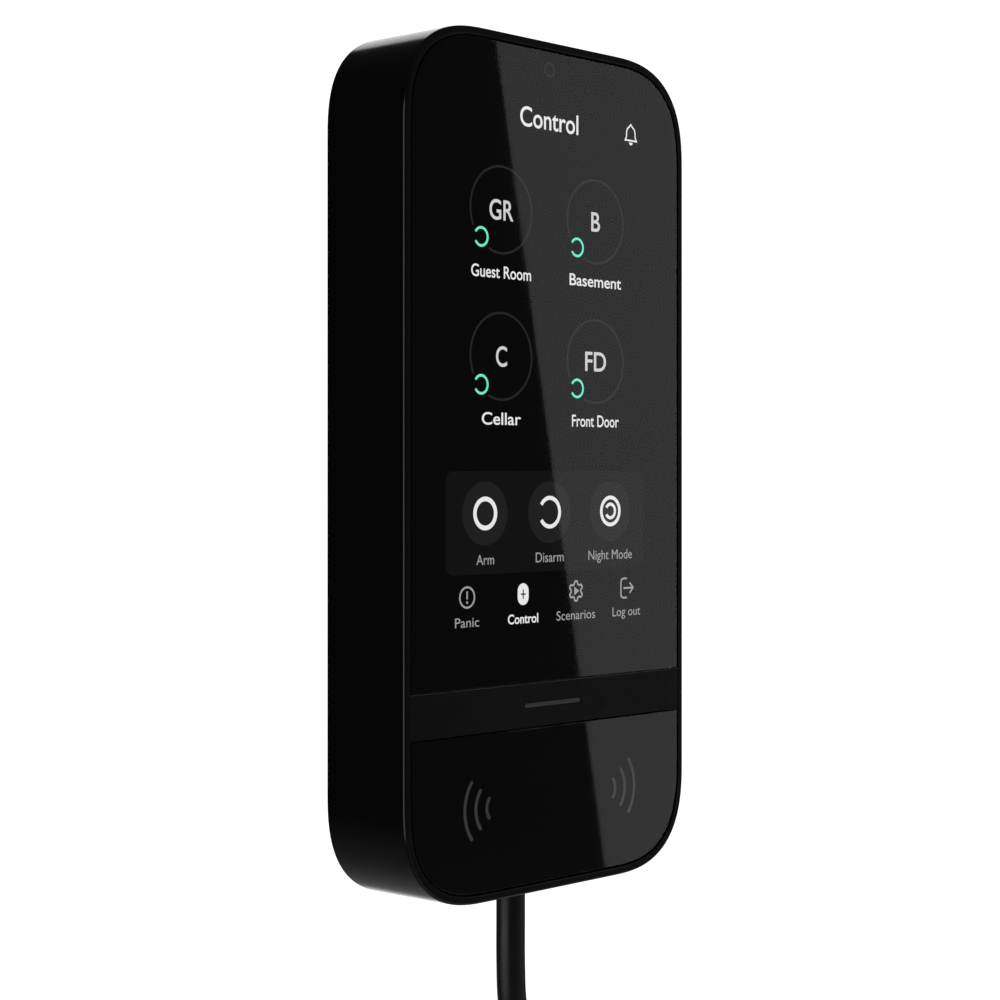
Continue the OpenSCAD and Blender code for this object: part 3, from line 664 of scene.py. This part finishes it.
@dataclass
class Studio:
    """Camera, soft light, surroundings and floor.

    The camera stands at spot, level, turned by turn to the right of +y, and its picture is shifted.
    box_edge is the top and the bottom of the large light's left edge as x and z, at the depth box_y.
    """

    turn: float = math.radians(49.24)
    spot: Colour = (-0.311487, -0.315257, -0.001295)
    lens: float = 78.943
    shift: tuple[float, float] = (-0.1515, -0.0278)
    box_edge: tuple[tuple[float, float], tuple[float, float]] = ((0.871, 0.326), (0.995, -0.319))
    box_y: float = -0.9026
    box_size: tuple[float, float] = (0.8, 1.3)
    floor_z: float = -0.1930
    floor_radius: float = 0.30

    def camera(self) -> None:
        """Adds the camera at the panel's left, level with its middle."""
        data = bpy.data.cameras.new("camera")
        data.lens, data.sensor_width = self.lens, 36.0
        data.shift_x, data.shift_y = self.shift
        data.clip_start = 0.01
        data.dof.use_dof = False
        made = bpy.data.objects.new("camera", data)
        made.location = self.spot
        made.rotation_euler = (math.pi / 2, 0.0, -self.turn)
        bpy.context.collection.objects.link(made)
        bpy.context.scene.camera = made

    def area(self, name: str, size: tuple[float, float], power: float, place: Matrix,
             mirrored: bool = True) -> None:
        """Adds a soft rectangular light that the camera doesn't see.

        Args:
            name: Name of the light.
            size: Its sides.
            power: Its energy.
            place: Where it is; it shines along its own -z.
            mirrored: Whether glossy pieces mirror it.
        """
        data = bpy.data.lights.new(name, "AREA")
        data.shape, data.size, data.size_y, data.energy = "RECTANGLE", *size, power
        made = bpy.data.objects.new(name, data)
        made.matrix_world = place
        made.visible_camera, made.visible_glossy = False, mirrored
        bpy.context.collection.objects.link(made)

    def lights(self) -> None:
        """Adds a large box at the front right, set by its left edge, a fill at the left and a top light."""
        top, low = (Vector((x, self.box_y, z)) for x, z in self.box_edge)
        along = (top - low).normalized()
        right = along.cross(Vector((0.0, 1.0, 0.0))).normalized()
        right = right if right.x > 0 else -right
        centre = (top + low) / 2 + right * self.box_size[0] / 2
        place = Matrix((right, along, right.cross(along))).transposed().to_4x4()
        self.area("softbox", self.box_size, 1.77, Matrix.Translation(centre) @ place)
        side = Matrix.Translation((-0.9, 0.10, -0.05)) @ Matrix.Rotation(-math.pi / 2, 4, "Y")
        self.area("left_fill", (0.8, 0.85), 2.8, side)
        self.area("overhead", (0.4, 0.4), 18.0, Matrix.Translation((0.0, 0.0, 1.2)), mirrored=False)

    def surroundings(self) -> None:
        """Sets a white background, and for reflections a dark room with a pale backdrop behind."""
        world = bpy.data.worlds.new("room")
        bpy.context.scene.world = world
        world.use_nodes = True
        graph = Graph(world.node_tree)
        way = graph.node("ShaderNodeTexCoord").outputs["Generated"]
        axes = graph.node("ShaderNodeSeparateXYZ", {"Vector": way})

        def rise(value: object, start: float, end: float, low: float = 0.0, high: float = 1.0) -> object:
            """Smooth step from low to high between start and end."""
            return graph.node("ShaderNodeMapRange", {
                "Value": value, "From Min": start, "From Max": end, "To Min": low, "To Max": high,
            }, interpolation_type="SMOOTHSTEP").outputs[0]

        def times(one: object, other: object) -> object:
            """Product of two values."""
            return graph.node("ShaderNodeMath", {0: one, 1: other}, operation="MULTIPLY").outputs[0]

        behind = rise(axes.outputs["Y"], 0.30, 0.45)
        right = rise(axes.outputs["X"], 0.27, 0.35)
        upper = rise(axes.outputs["Z"], -0.62, -0.28, 0.10, 1.2)
        backdrop = times(times(behind, right), upper)
        inputs = {0: axes.outputs["X"], 1: axes.outputs["Y"]}
        across = graph.node("ShaderNodeMath", inputs, operation="SUBTRACT").outputs[0]
        sides = rise(across, -1.2, 1.2, 0.012, 0.056)
        below = times(rise(axes.outputs["Z"], -0.50, -0.15, 1.0, 0.0),
                      rise(axes.outputs["X"], -0.8, 0.45, 0.035, 0.23))
        room = graph.node("ShaderNodeMath", {0: sides, 1: below}, operation="ADD").outputs[0]
        level = graph.node("ShaderNodeMath", {0: backdrop, 1: room}, operation="MAXIMUM").outputs[0]
        seen = graph.node("ShaderNodeLightPath").outputs["Is Camera Ray"]
        strength = graph.node("ShaderNodeMath", {0: seen, 1: level}, operation="MAXIMUM").outputs[0]
        glow = graph.node("ShaderNodeBackground", {"Color": (1.0, 1.0, 1.0, 1.0), "Strength": strength})
        graph.node("ShaderNodeOutputWorld", {"Surface": glow.outputs[0]})

    def floor(self) -> None:
        """Adds a small plain floor under the hanging coil, left out of the panel's mirror images."""
        circle = arc(0.0, 0.0, self.floor_radius / MM)[:-1]
        heights = (self.floor_z / MM - 4.0, self.floor_z / MM)
        rings = [np.column_stack((circle, np.full(len(circle), z))) for z in heights]
        made = skin("floor", np.stack(rings) * MM)
        FLOOR.dress(made)
        made.visible_glossy = False

    def build(self) -> None:
        """Sets up the camera, lights, surroundings, floor and plain colour handling."""
        bpy.context.scene.view_settings.view_transform = "Standard"
        self.camera()
        self.lights()
        self.surroundings()
        self.floor()
        LOG.info("studio set up")


# ---- Sub-assemblies ----

@dataclass
class CableLead:
    """Round cable that leaves the underside and is put away in a coil under the panel.

    The coil runs from the angle start to end, in degrees. At each angle in shifts it starts to pass
    to the next lie of its turns, and it gets there shift_width later.
    """

    nodes: dict[str, bpy.types.Object]
    piece: bpy.types.Object | None = None
    shift_width: float = 57.0
    shifts: tuple[float, ...] = (313.0, 615.0, 917.0, 1219.0, 1521.0)
    start: float = 50.0
    end: float = 1890.0

    def lead_in(self) -> np.ndarray:
        """Smooth path through the route's points.

        Between two points the path is the cubic that passes both with the slope of their
        neighbours' chord, so it is round at every point.

        Returns:
            Points (n, 3) in metres.
        """
        known = np.array(ROUTE)
        padded = np.vstack((2 * known[0] - known[1], known, 2 * known[-1] - known[-2]))
        t = np.linspace(0.0, 1.0, 6)[:-1, None, None]
        a, b, c, d = (padded[i:len(padded) - 3 + i] for i in range(4))
        path = 0.5 * (2 * b + (c - a) * t + (2 * a - 5 * b + 4 * c - d) * t**2
                      + (3 * b - a - 3 * c + d) * t**3)
        flat = path.transpose(1, 0, 2).reshape(-1, 2)
        return np.column_stack((flat[:, 0], np.full(len(flat), -CABLE_AT), flat[:, 1]))

    def coil(self) -> np.ndarray:
        """Turns of the coil.

        At angle a, clockwise from the top as seen from the front, a point is at
        (r sin a, y, z0 + r cos a). The radius r and the depth pass smoothly from one lie of the
        turns to the next: outer middle, outer back, inner back, inner middle, inner front, outer front.

        Returns:
            Points (n, 3) in metres.
        """
        angle = np.arange(self.start, self.end + 0.1, 7.5)
        share = np.clip((angle[:, None] - np.array(self.shifts)) / self.shift_width, 0.0, 1.0)
        moved = share**2 * (3 - 2 * share)
        inwards = np.array((0, 1, 0, 0, -1)) * (COIL_INNER - COIL_OUTER)
        forwards = np.array((-1, 0, 1, 1, 0)) * CABLE_D
        radius = COIL_OUTER + moved @ inwards
        depth = CABLE_AT + moved @ forwards
        turn = np.radians(angle)
        return np.column_stack((radius * np.sin(turn), -depth, COIL_Z + radius * np.cos(turn)))

    def tail(self) -> np.ndarray:
        """Straight run down from the coil to the connector."""
        z = np.linspace(COIL_Z, TAIL_END, 5)[1:]
        return np.column_stack((np.full(4, COIL_OUTER), np.full(4, -CABLE_AT - CABLE_D), z))

    def build(self) -> None:
        path = np.vstack((self.lead_in(), self.coil(), self.tail()))
        curve = bpy.data.curves.new("cable_lead", "CURVE")
        curve.dimensions = "3D"
        curve.bevel_depth = 1.0
        curve.bevel_resolution = 8
        curve.use_fill_caps = True
        spline = curve.splines.new("POLY")
        spline.points.add(len(path) - 1)
        spline.points.foreach_set("co", np.column_stack((path, np.ones(len(path)))).ravel())
        spline.points.foreach_set("radius", np.full(len(path), CABLE_D / 2))
        spline.use_smooth = True
        self.piece = bpy.data.objects.new("cable_lead", curve)
        bpy.context.collection.objects.link(self.piece)
        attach(self.piece, "bracket")
        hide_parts("cable", "cable_coil", "cable_tail")
        LOG.info("cable of %.3f m laid", float(np.linalg.norm(np.diff(path, axis=0), axis=1).sum()))

    def dress(self) -> None:
        """Gives the cable its sheath."""
        SHEATH.dress(self.piece)


@dataclass
class Housing:
    """Moulded case with its rim, the strip across the front and the status light."""

    shell: bpy.types.Object | None = None
    band: bpy.types.Object | None = None
    status: bpy.types.Object | None = None
    front_round: float = 0.5
    back_round: float = 0.3

    def build_shell(self) -> None:
        """Makes the case's shell.

        Its wall's closed section, a list of inset and depth, is carried round the case's outline:
        a point of the section is the outline of the case made smaller by the inset on each side.
        """
        front = [(i, BODY_D - down) for i, down in quarter_round(self.front_round, 8)]
        back = [(i, SKIRT_AT + down) for i, down in quarter_round(self.back_round, 4)][::-1]
        lip = [(RIM_W - i, BODY_D - down) for i, down in quarter_round(0.07, 3)][::-1]
        deck = [(RIM_W, DECK_FRONT), (DECK_W, DECK_FRONT), (DECK_W, DECK_BACK), (WALL, DECK_BACK)]
        section = back + front + lip + deck + [(WALL, SKIRT_AT)]
        loops = [
            outline(BODY_W - 2 * i, BODY_H - 2 * i - (POCKET_TRIM if i >= RIM_W and i != WALL else 0.0),
                    CORNER_BLEND - i)
            for i, _ in section
        ]
        self.shell = skin("front_shell", stack(loops, [depth for _, depth in section]), closed=True)
        low, high = -BODY_H / 2 - 2, -BODY_H / 2 + WALL + 1
        notch = upright("notch_round", 0.0, CABLE_AT / MM, 4.5, low, high)
        slot = skin("notch_slot", np.stack([
            np.column_stack((rectangle(0.0, -CABLE_AT / MM / 2 + 0.5, 9.0, CABLE_AT / MM + 1.0),
                             np.full(4, z))) for z in (low, high)]) * MM)
        bore = upright("bore", SCREW_X, SCREW_DEPTH, 1.8, low, high)
        sink = upright("sink", SCREW_X, SCREW_DEPTH, 3.0, low, -BODY_H / 2 + 1.4)
        carve(self.shell, [notch, slot, bore, sink])

    def build_band(self) -> None:
        """Makes the strip across the front, with a slot for the status light."""
        loop = rectangle(0.0, BAND_Z, PANE_W + 0.6, BAND_H)
        self.band = plate("front_band", loop, DECK_FRONT, GLASS_FRONT, 0.16)
        opening = rectangle(0.0, BAND_Z, STATUS_W, 1.2, 0.55)
        carve(self.band, [plate("slot", opening, DECK_FRONT - 1, BODY_D + 1, 0.1)])
        loop = rectangle(0.0, BAND_Z, STATUS_W - 0.16, 1.04, 0.5)
        self.status = plate("status_bar", loop, DECK_BACK, GLASS_FRONT - LAYER, 0.2)

    def build(self) -> None:
        """Makes the case's visible pieces."""
        self.build_shell()
        self.build_band()
        for piece, node, slot in ((self.shell, "front_housing", "case"), (self.band, "centre_band", "band"),
                                  (self.status, "status_light_pipe", "light_pipe")):
            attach(piece, "keypad")
            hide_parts(node)
        LOG.info("housing built")

    def dress(self) -> None:
        """Gives the case, band and status light their finishes."""
        two_finishes(self.shell, CASE, RIM, lambda normals: normals[:, 1] < -0.98)
        # Faces of the band that look up and forward get the light grey: a painted highlight along its top
        # edge.
        two_finishes(self.band, BAND, BAND_TOP_PAINTED_HIGHLIGHT, lambda normals: (normals[:, 2] > 0.3) & (normals[:, 1] < -0.15))
        STATUS.dress(self.status)


def glazed(name: str, low: float, high: float) -> tuple[bpy.types.Object, bpy.types.Object]:
    """Makes a pane of the front and the black mask behind it.

    Args:
        name: Start of both names.
        low: Lowest z of the pane, in millimetres.
        high: Highest z.

    Returns:
        The pane and the mask.
    """
    loop = clip(outline(PANE_W, PANE_H, PANE_BLEND), low, high)
    pane = plate(f"{name}_pane", loop, GLASS_FRONT - 1.05, GLASS_FRONT, 0.15)
    mask_front = GLASS_FRONT - IMAGE_DEPTH - LAYER
    mask = plate(f"{name}_mask", inset(loop, 0.03), GLASS_FRONT - 1.15, mask_front, LAYER)
    return pane, mask


@dataclass
class Artwork:
    """Flat shapes of one colour, gathered into one piece."""

    name: str
    finish: Finish
    depth: float
    points: list[np.ndarray] = field(default_factory=list)
    faces: list[list[int]] = field(default_factory=list)

    def add(self, points: np.ndarray, faces: np.ndarray | list) -> None:
        """Adds points (n, 2) in millimetres, and faces numbered from the first of them."""
        start = sum(len(some) for some in self.points)
        self.points.append(points)
        self.faces += [[start + corner for corner in face] for face in faces]

    def fill(self, loop: np.ndarray) -> None:
        """Adds a filled shape."""
        self.add(loop, [list(range(len(loop)))])

    def stroke(self, path: np.ndarray, width: float, closed: bool = False) -> None:
        """Adds a line of one width along a path.

        Each point moves to both sides by half the width along the mitre of the two spans there.

        Args:
            path: Points (n, 2) in millimetres.
            width: Width of the line.
            closed: Whether the line meets its start.
        """
        span = np.diff(np.vstack((path, path[:1])) if closed else path, axis=0)
        span /= np.linalg.norm(span, axis=1, keepdims=True)
        side = np.column_stack((-span[:, 1], span[:, 0]))
        before = np.roll(side, 1, axis=0) if closed else np.vstack((side[:1], side))
        after = side if closed else np.vstack((side, side[-1:]))
        mitre = (before + after) / (1 + np.sum(before * after, axis=1, keepdims=True)) * width / 2
        count = len(path)
        first = np.arange(count if closed else count - 1)
        second = (first + 1) % count
        self.add(np.vstack((path - mitre, path + mitre)),
                 np.column_stack((first, second, second + count, first + count)).tolist())

    def ring(self, x: float, z: float, outer: float, width: float, gap_at: float = 0.0,
             gap: float = 0.0) -> None:
        """Adds a ring, with a gap if it has one.

        Args:
            x: Centre along x.
            z: Centre along z.
            outer: Outer radius.
            width: Width of the line.
            gap_at: Angle of the gap's middle in degrees.
            gap: Half the gap's angle in degrees; 0 closes the ring.
        """
        path = arc(x, z, outer - width / 2, gap_at + gap, gap_at + 360 - gap)
        self.stroke(path if gap else path[:-1], width, closed=not gap)

    def text(self, words: str, x: float, z: float, cap: float, width: float, weight: float = 0.0) -> None:
        """Adds a line of text, centred on x, standing on z.

        Args:
            words: The text.
            x: Its middle.
            z: Its base line.
            cap: Height of a capital letter in millimetres.
            width: Width of the whole line in millimetres.
            weight: How much the strokes are thickened, as a share of the letter size.
        """
        shapes = [self.glyphs(some, weight) for some in ("H", words)]
        tall = shapes[0][0][:, 1].max()
        points, faces = shapes[1]
        low, high = points[:, 0].min(), points[:, 0].max()
        across = (points[:, 0] - (low + high) / 2) * width / (high - low)
        self.add(np.column_stack((x + across, z + points[:, 1] * cap / tall)), faces)

    @staticmethod
    def glyphs(words: str, weight: float) -> tuple[np.ndarray, list[list[int]]]:
        """Flat mesh of a line of text.

        Args:
            words: The text.
            weight: How much the strokes are thickened.

        Returns:
            Points (n, 2) and faces, at the font's own size.
        """
        curve = bpy.data.curves.new("words", "FONT")
        curve.body, curve.offset, curve.resolution_u = words, weight, 6
        made = bpy.data.objects.new("words", curve)
        bpy.context.collection.objects.link(made)
        mesh = made.to_mesh()
        points = np.empty(len(mesh.vertices) * 3)
        mesh.vertices.foreach_get("co", points)
        faces = [list(face.vertices) for face in mesh.polygons]
        made.to_mesh_clear()
        bpy.data.objects.remove(made)
        return points.reshape(-1, 3)[:, :2], faces

    def finished(self) -> bpy.types.Object:
        """Makes the piece, facing the front, with its finish.

        Returns:
            The new object.
        """
        flat = np.concatenate(self.points)
        y = np.full(len(flat), -self.depth)
        made = mesh_object(self.name, np.column_stack((flat[:, 0], y, flat[:, 1])) * MM, self.faces, 0.0)
        work = bmesh.new()
        work.from_mesh(made.data)
        bmesh.ops.reverse_faces(work, faces=[face for face in work.faces if face.normal.y > 0])
        work.to_mesh(made.data)
        work.free()
        self.finish.dress(made)
        return made


@dataclass
class TouchScreen:
    """Upper pane with the lit picture behind it, and the sensor port."""

    pane: bpy.types.Object | None = None
    mask: bpy.types.Object | None = None
    art: dict[str, Artwork] = field(default_factory=dict)
    pieces: list[bpy.types.Object] = field(default_factory=list)
    column_x: float = 13.35
    rows_z: tuple[float, float] = (48.74, 20.81)
    bell: tuple[float, float] = (24.0, 67.4)
    keys_x: tuple[float, ...] = (-17.73, 0.0, 17.74)
    key_z: float = -9.1
    tabs_x: tuple[float, ...] = (-22.53, -7.46, 7.54, 22.64)
    tab_z: float = -24.8
    tab_label_z: float = -30.4

    def sheet(self, name: str, finish: Finish, level: int) -> Artwork:
        """Starts the artwork of one colour, on its level in front of the mask."""
        self.art[name] = Artwork(f"screen_{name}", finish, GLASS_FRONT - IMAGE_DEPTH + LAYER * level)
        return self.art[name]

    def areas(self) -> None:
        """Draws the four areas: ring, state mark, initials and name."""
        ring, mint = self.sheet("rings", RING, 1), self.sheet("marks", MINT, 2)
        pale, white = self.sheet("initials", PALE, 2), self.sheet("names", WHITE, 2)
        areas = (
            (-1, 0, "GR", 6.5, "Guest Room", 16.2), (1, 0, "B", 2.6, "Basement", 15.3),
            (-1, 1, "C", 3.0, "Cellar", 10.6), (1, 1, "FD", 6.2, "Front Door", 13.9),
        )
        for side, row, initials, initials_w, name, name_w in areas:
            x, z = side * self.column_x, self.rows_z[row]
            ring.ring(x, z, 8.5, 0.45, 225.0, 20.0)
            mint.ring(x - 5.45, z - 5.5, 1.96, 0.5, 180.0, 30.0)
            pale.text(initials, x, z - 1.9, 3.8, initials_w, 0.012)
            white.text(name, x, z - 13.04, 2.3, name_w, 0.010)
        white.text("Control", 0.0, 65.55, 3.8, 16.5, 0.010)
        bell = np.array(((0.0, 2.05), (0.5, 1.55), (1.05, 1.15), (1.3, 0.45), (1.32, -0.45), (1.72, -1.2)))
        bell = np.vstack((bell[::-1], bell[1:] * (-1, 1)))
        white.stroke(bell + self.bell, 0.34, closed=True)
        white.fill(arc(self.bell[0], self.bell[1] - 1.6, 0.55, 180.0, 360.0))

    def dock(self) -> None:
        """Draws the dock with its three round keys."""
        panel, disc = self.sheet("dock", DOCK, 1), self.sheet("discs", DISC, 2)
        white, grey = self.sheet("icons", WHITE, 3), self.sheet("labels", GREY, 3)
        panel.fill(rectangle(0.0, -10.85, 56.16, 19.5, 2.0))
        left, middle, right = self.keys_x
        z = self.key_z
        for x, label, label_w in ((left, "Arm", 4.7), (middle, "Disarm", 7.9), (right, "Night Mode", 13.1)):
            disc.fill(arc(x, z, 6.04)[:-1])
            grey.text(label, x, z - 9.7, 1.9, label_w)
        white.ring(left, z, 3.2, 0.9)
        white.ring(middle, z, 3.2, 0.8, 180.0, 32.0)
        white.ring(right, z, 3.1, 0.75)
        white.ring(right, z, 1.7, 0.65, 180.0, 30.0)

    def bar(self) -> None:
        """Draws the bar of four tabs under the dock."""
        grey, white = self.art["labels"], self.art["icons"]
        dark = self.sheet("pill_mark", DARK, 4)
        z, line = self.tab_z, 0.37
        panic, control, scenarios, leave = self.tabs_x
        labels = ((panic, "Panic", 6.3), (scenarios, "Scenarios", 11.2), (leave, "Log out", 8.5))
        for x, label, label_w in labels:
            grey.text(label, x, self.tab_label_z, 1.8, label_w)
        white.text("Control", control, self.tab_label_z, 1.8, 8.4, 0.018)
        grey.ring(panic, z, 2.1, line)
        grey.stroke(np.array(((0.0, 1.15), (0.0, -0.35))) + (panic, z), line)
        grey.fill(arc(panic, z - 0.95, 0.25)[:-1])
        white.fill(rectangle(control, z, 3.03, 4.2, 1.5))
        for reach in ((0.65, 0.0), (0.0, 0.9)):
            dark.stroke(np.array((reach, np.negative(reach))) + (control, z), 0.3)
        turn = np.radians(np.arange(0, 360, 5))
        radius = 1.68 + 0.27 * np.tanh(2.6 * np.cos(6 * turn + math.pi))
        gear = np.column_stack((radius * np.cos(turn), radius * np.sin(turn)))
        grey.stroke(gear + (scenarios, z), line, closed=True)
        grey.fill(np.array(((0.95, 0.0), (-0.5, 0.85), (-0.5, -0.85))) + (scenarios, z))
        gate = np.array(((0.1, 1.95), (-1.0, 1.95), (-1.5, 1.75), (-1.7, 1.25), (-1.7, 0.0)))
        gate = np.vstack((gate, gate[-2::-1] * (1, -1)))
        shaft = np.array(((-0.9, 0.0), (1.9, 0.0)))
        head = np.array(((1.0, 1.05), (2.0, 0.0), (1.0, -1.05)))
        for path in (gate, shaft, head):
            grey.stroke(path + (leave, z), line)

    def build(self) -> None:
        """Makes the pane, the black mask behind it, the picture and the sensor port."""
        self.pane, self.mask = glazed("touch", BAND_Z + BAND_H / 2 + 0.1, BODY_H)
        self.areas()
        self.dock()
        self.bar()
        sensor = self.sheet("sensor", RING, 2)
        sensor.ring(0.0, 77.3, 1.45, 0.4)
        self.pieces = [art.finished() for art in self.art.values()]
        for piece in (self.pane, self.mask, *self.pieces):
            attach(piece, "keypad")
        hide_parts("touch_glass")
        LOG.info("touchscreen built with %d colours", len(self.pieces))

    def dress(self) -> None:
        """Gives the pane its glass and the mask its print."""
        GLASS.dress(self.pane)
        MASK.dress(self.mask)


@dataclass
class CardReader:
    """Lower pane with the contactless mark printed at each side, the print given a painted glow."""

    pane: bpy.types.Object | None = None
    mask: bpy.types.Object | None = None
    mark: bpy.types.Object | None = None
    centre_x: float = 15.2
    centre_z: float = -64.8
    radii: tuple[float, ...] = (3.0, 5.9, 8.8)
    reach: float = 37.0
    line: float = 0.75

    def build(self) -> None:
        """Makes the pane, its black mask and the printed arcs."""
        self.pane, self.mask = glazed("reader", -BODY_H, BAND_Z - BAND_H / 2 - 0.2)
        # The printed arcs glow with their own colour: a painted glow, not a lamp.
        art = Artwork("reader_mark", PRINT_PAINTED_GLOW, GLASS_FRONT - LAYER)
        for side in (-1, 1):
            facing = 180.0 if side < 0 else 0.0
            for radius in self.radii:
                place = (side * self.centre_x, self.centre_z, radius)
                art.stroke(arc(*place, facing - self.reach, facing + self.reach), self.line)
                for end in (-self.reach, self.reach):
                    tip = arc(*place, facing + end, facing + end)[0]
                    outwards = facing + end + (90.0 if end > 0 else -90.0)
                    art.fill(arc(*tip, self.line / 2, outwards - 90.0, outwards + 90.0))
        self.mark = art.finished()
        for piece in (self.pane, self.mask, self.mark):
            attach(piece, "keypad")
        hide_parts("reader_glass")
        LOG.info("reader pane built")

    def dress(self) -> None:
        """Gives the pane its glass and the mask its print."""
        GLASS.dress(self.pane)
        MASK.dress(self.mask)


@dataclass
class FramedParts:
    """CAD pieces that keep their shape."""

    nodes: dict[str, bpy.types.Object]

    def dress(self) -> None:
        """Gives every CAD piece that stays its finish."""
        for finish, names in CAD_FINISHES.items():
            finish.dress(*(self.nodes[name] for name in names))
        LOG.info("%d CAD pieces dressed", sum(len(names) for names in CAD_FINISHES.values()))


def main() -> None:
    """Builds the panel around the frame."""
    logging.basicConfig(level=logging.INFO, format="%(name)s: %(message)s")
    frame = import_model()
    Studio().build()
    parts = [CableLead(frame["nodes"]), Housing(), TouchScreen(), CardReader()]
    for part in parts:
        part.build()
    for part in (*parts, FramedParts(frame["nodes"])):
        part.dress()
    bpy.context.view_layer.update()


if __name__ == "__main__":
    main()
